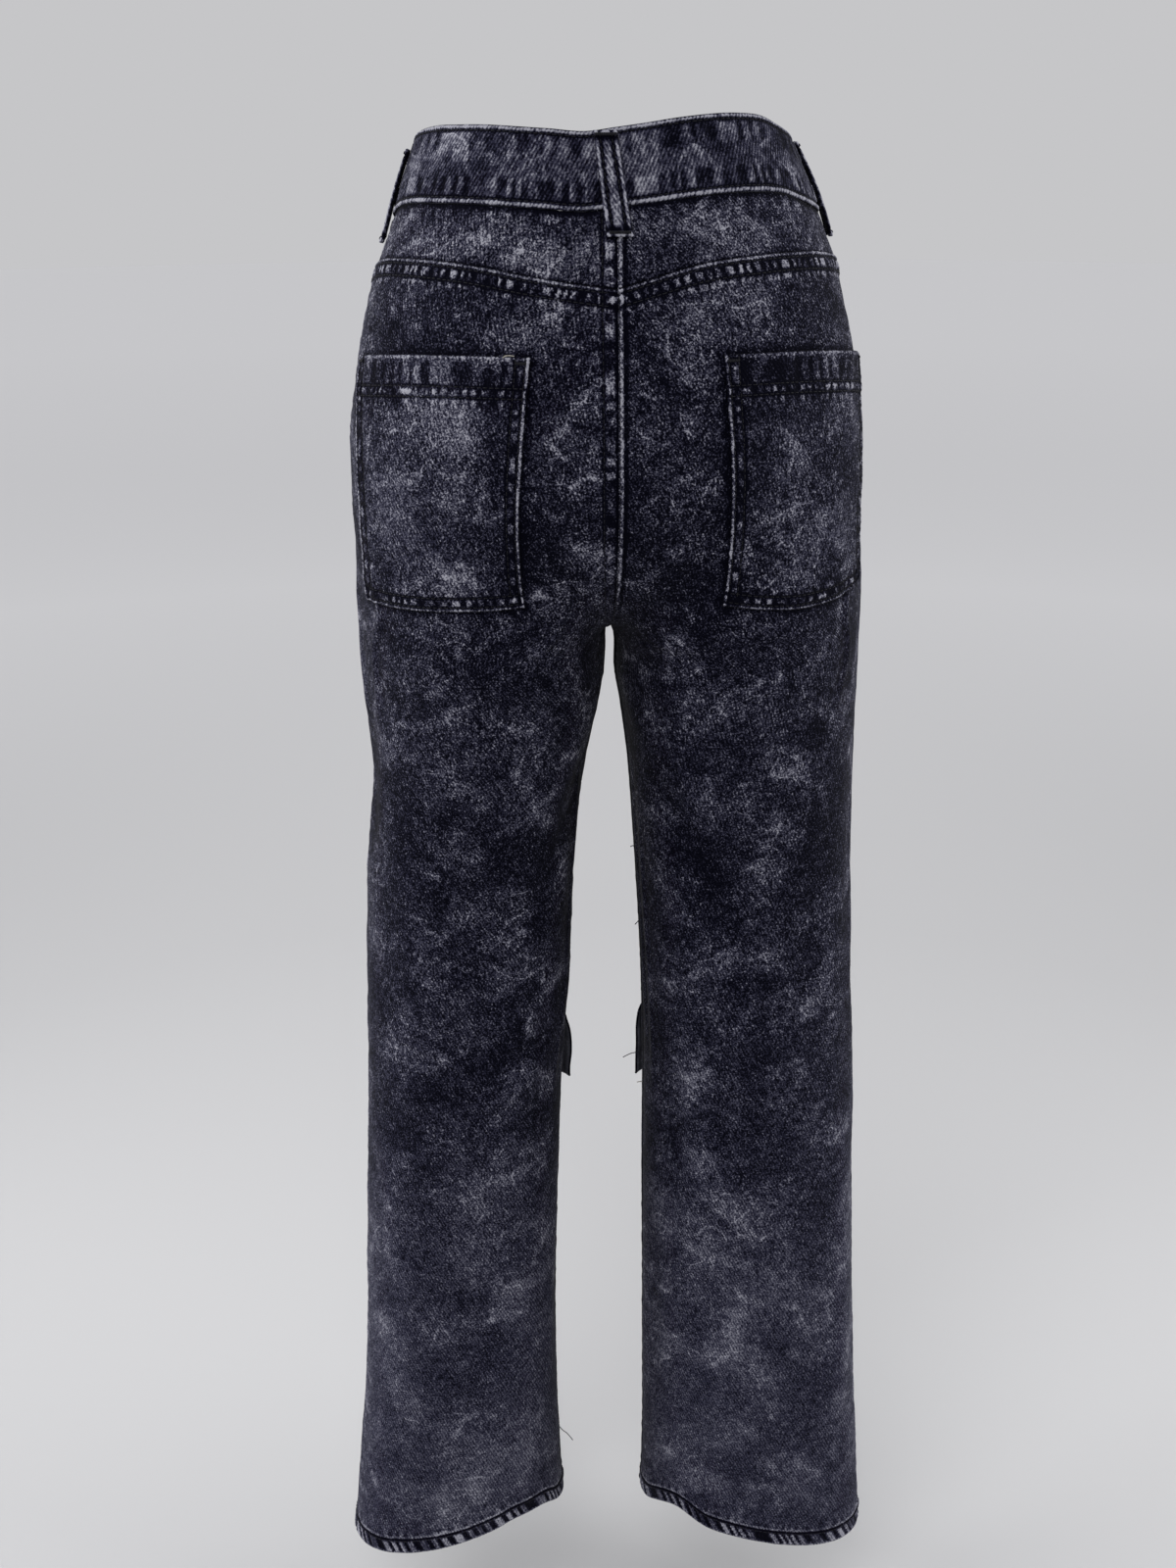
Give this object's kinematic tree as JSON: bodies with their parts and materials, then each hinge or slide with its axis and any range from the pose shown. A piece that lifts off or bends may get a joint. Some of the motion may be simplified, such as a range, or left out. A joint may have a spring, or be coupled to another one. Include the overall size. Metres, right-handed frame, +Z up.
{
  "type": "cargo jeans, worn form",
  "caption": "High-rise straight-leg cargo jeans in acid-washed charcoal denim, hollow in their worn form, with patch back pockets and flapped pockets on the knees.",
  "frame": {"origin": "middle of the waist opening, level with the top edge of the waistband at the centre back", "axes": "+Z up along the body towards the waist, the wearer faces -Y, +X is the wearer's left"},
  "size_m": [0.3961, 0.2198, 1.0422],
  "materials": {
    "denim": "matte",
    "thread": "matte",
    "button_metal": "satin"
  },
  "bodies": {
    "root": {"waistband": "denim", "back_yoke_left": "denim", "back_yoke_right": "denim", "back_panel_left": "denim", "back_panel_right": "denim", "front_panel_left": "denim", "front_panel_right": "denim", "back_pocket_left": "denim", "back_pocket_right": "denim", "cargo_pocket_left": "denim", "cargo_pocket_right": "denim", "cargo_flap_left": "denim", "cargo_flap_right": "denim", "belt_loop_back": "denim", "belt_loop_side_left": "denim", "belt_loop_side_right": "denim", "belt_loop_front_left": "denim", "belt_loop_front_right": "denim", "fly_placket": "denim", "waist_button": "button_metal"}
  },
  "joints": []
}
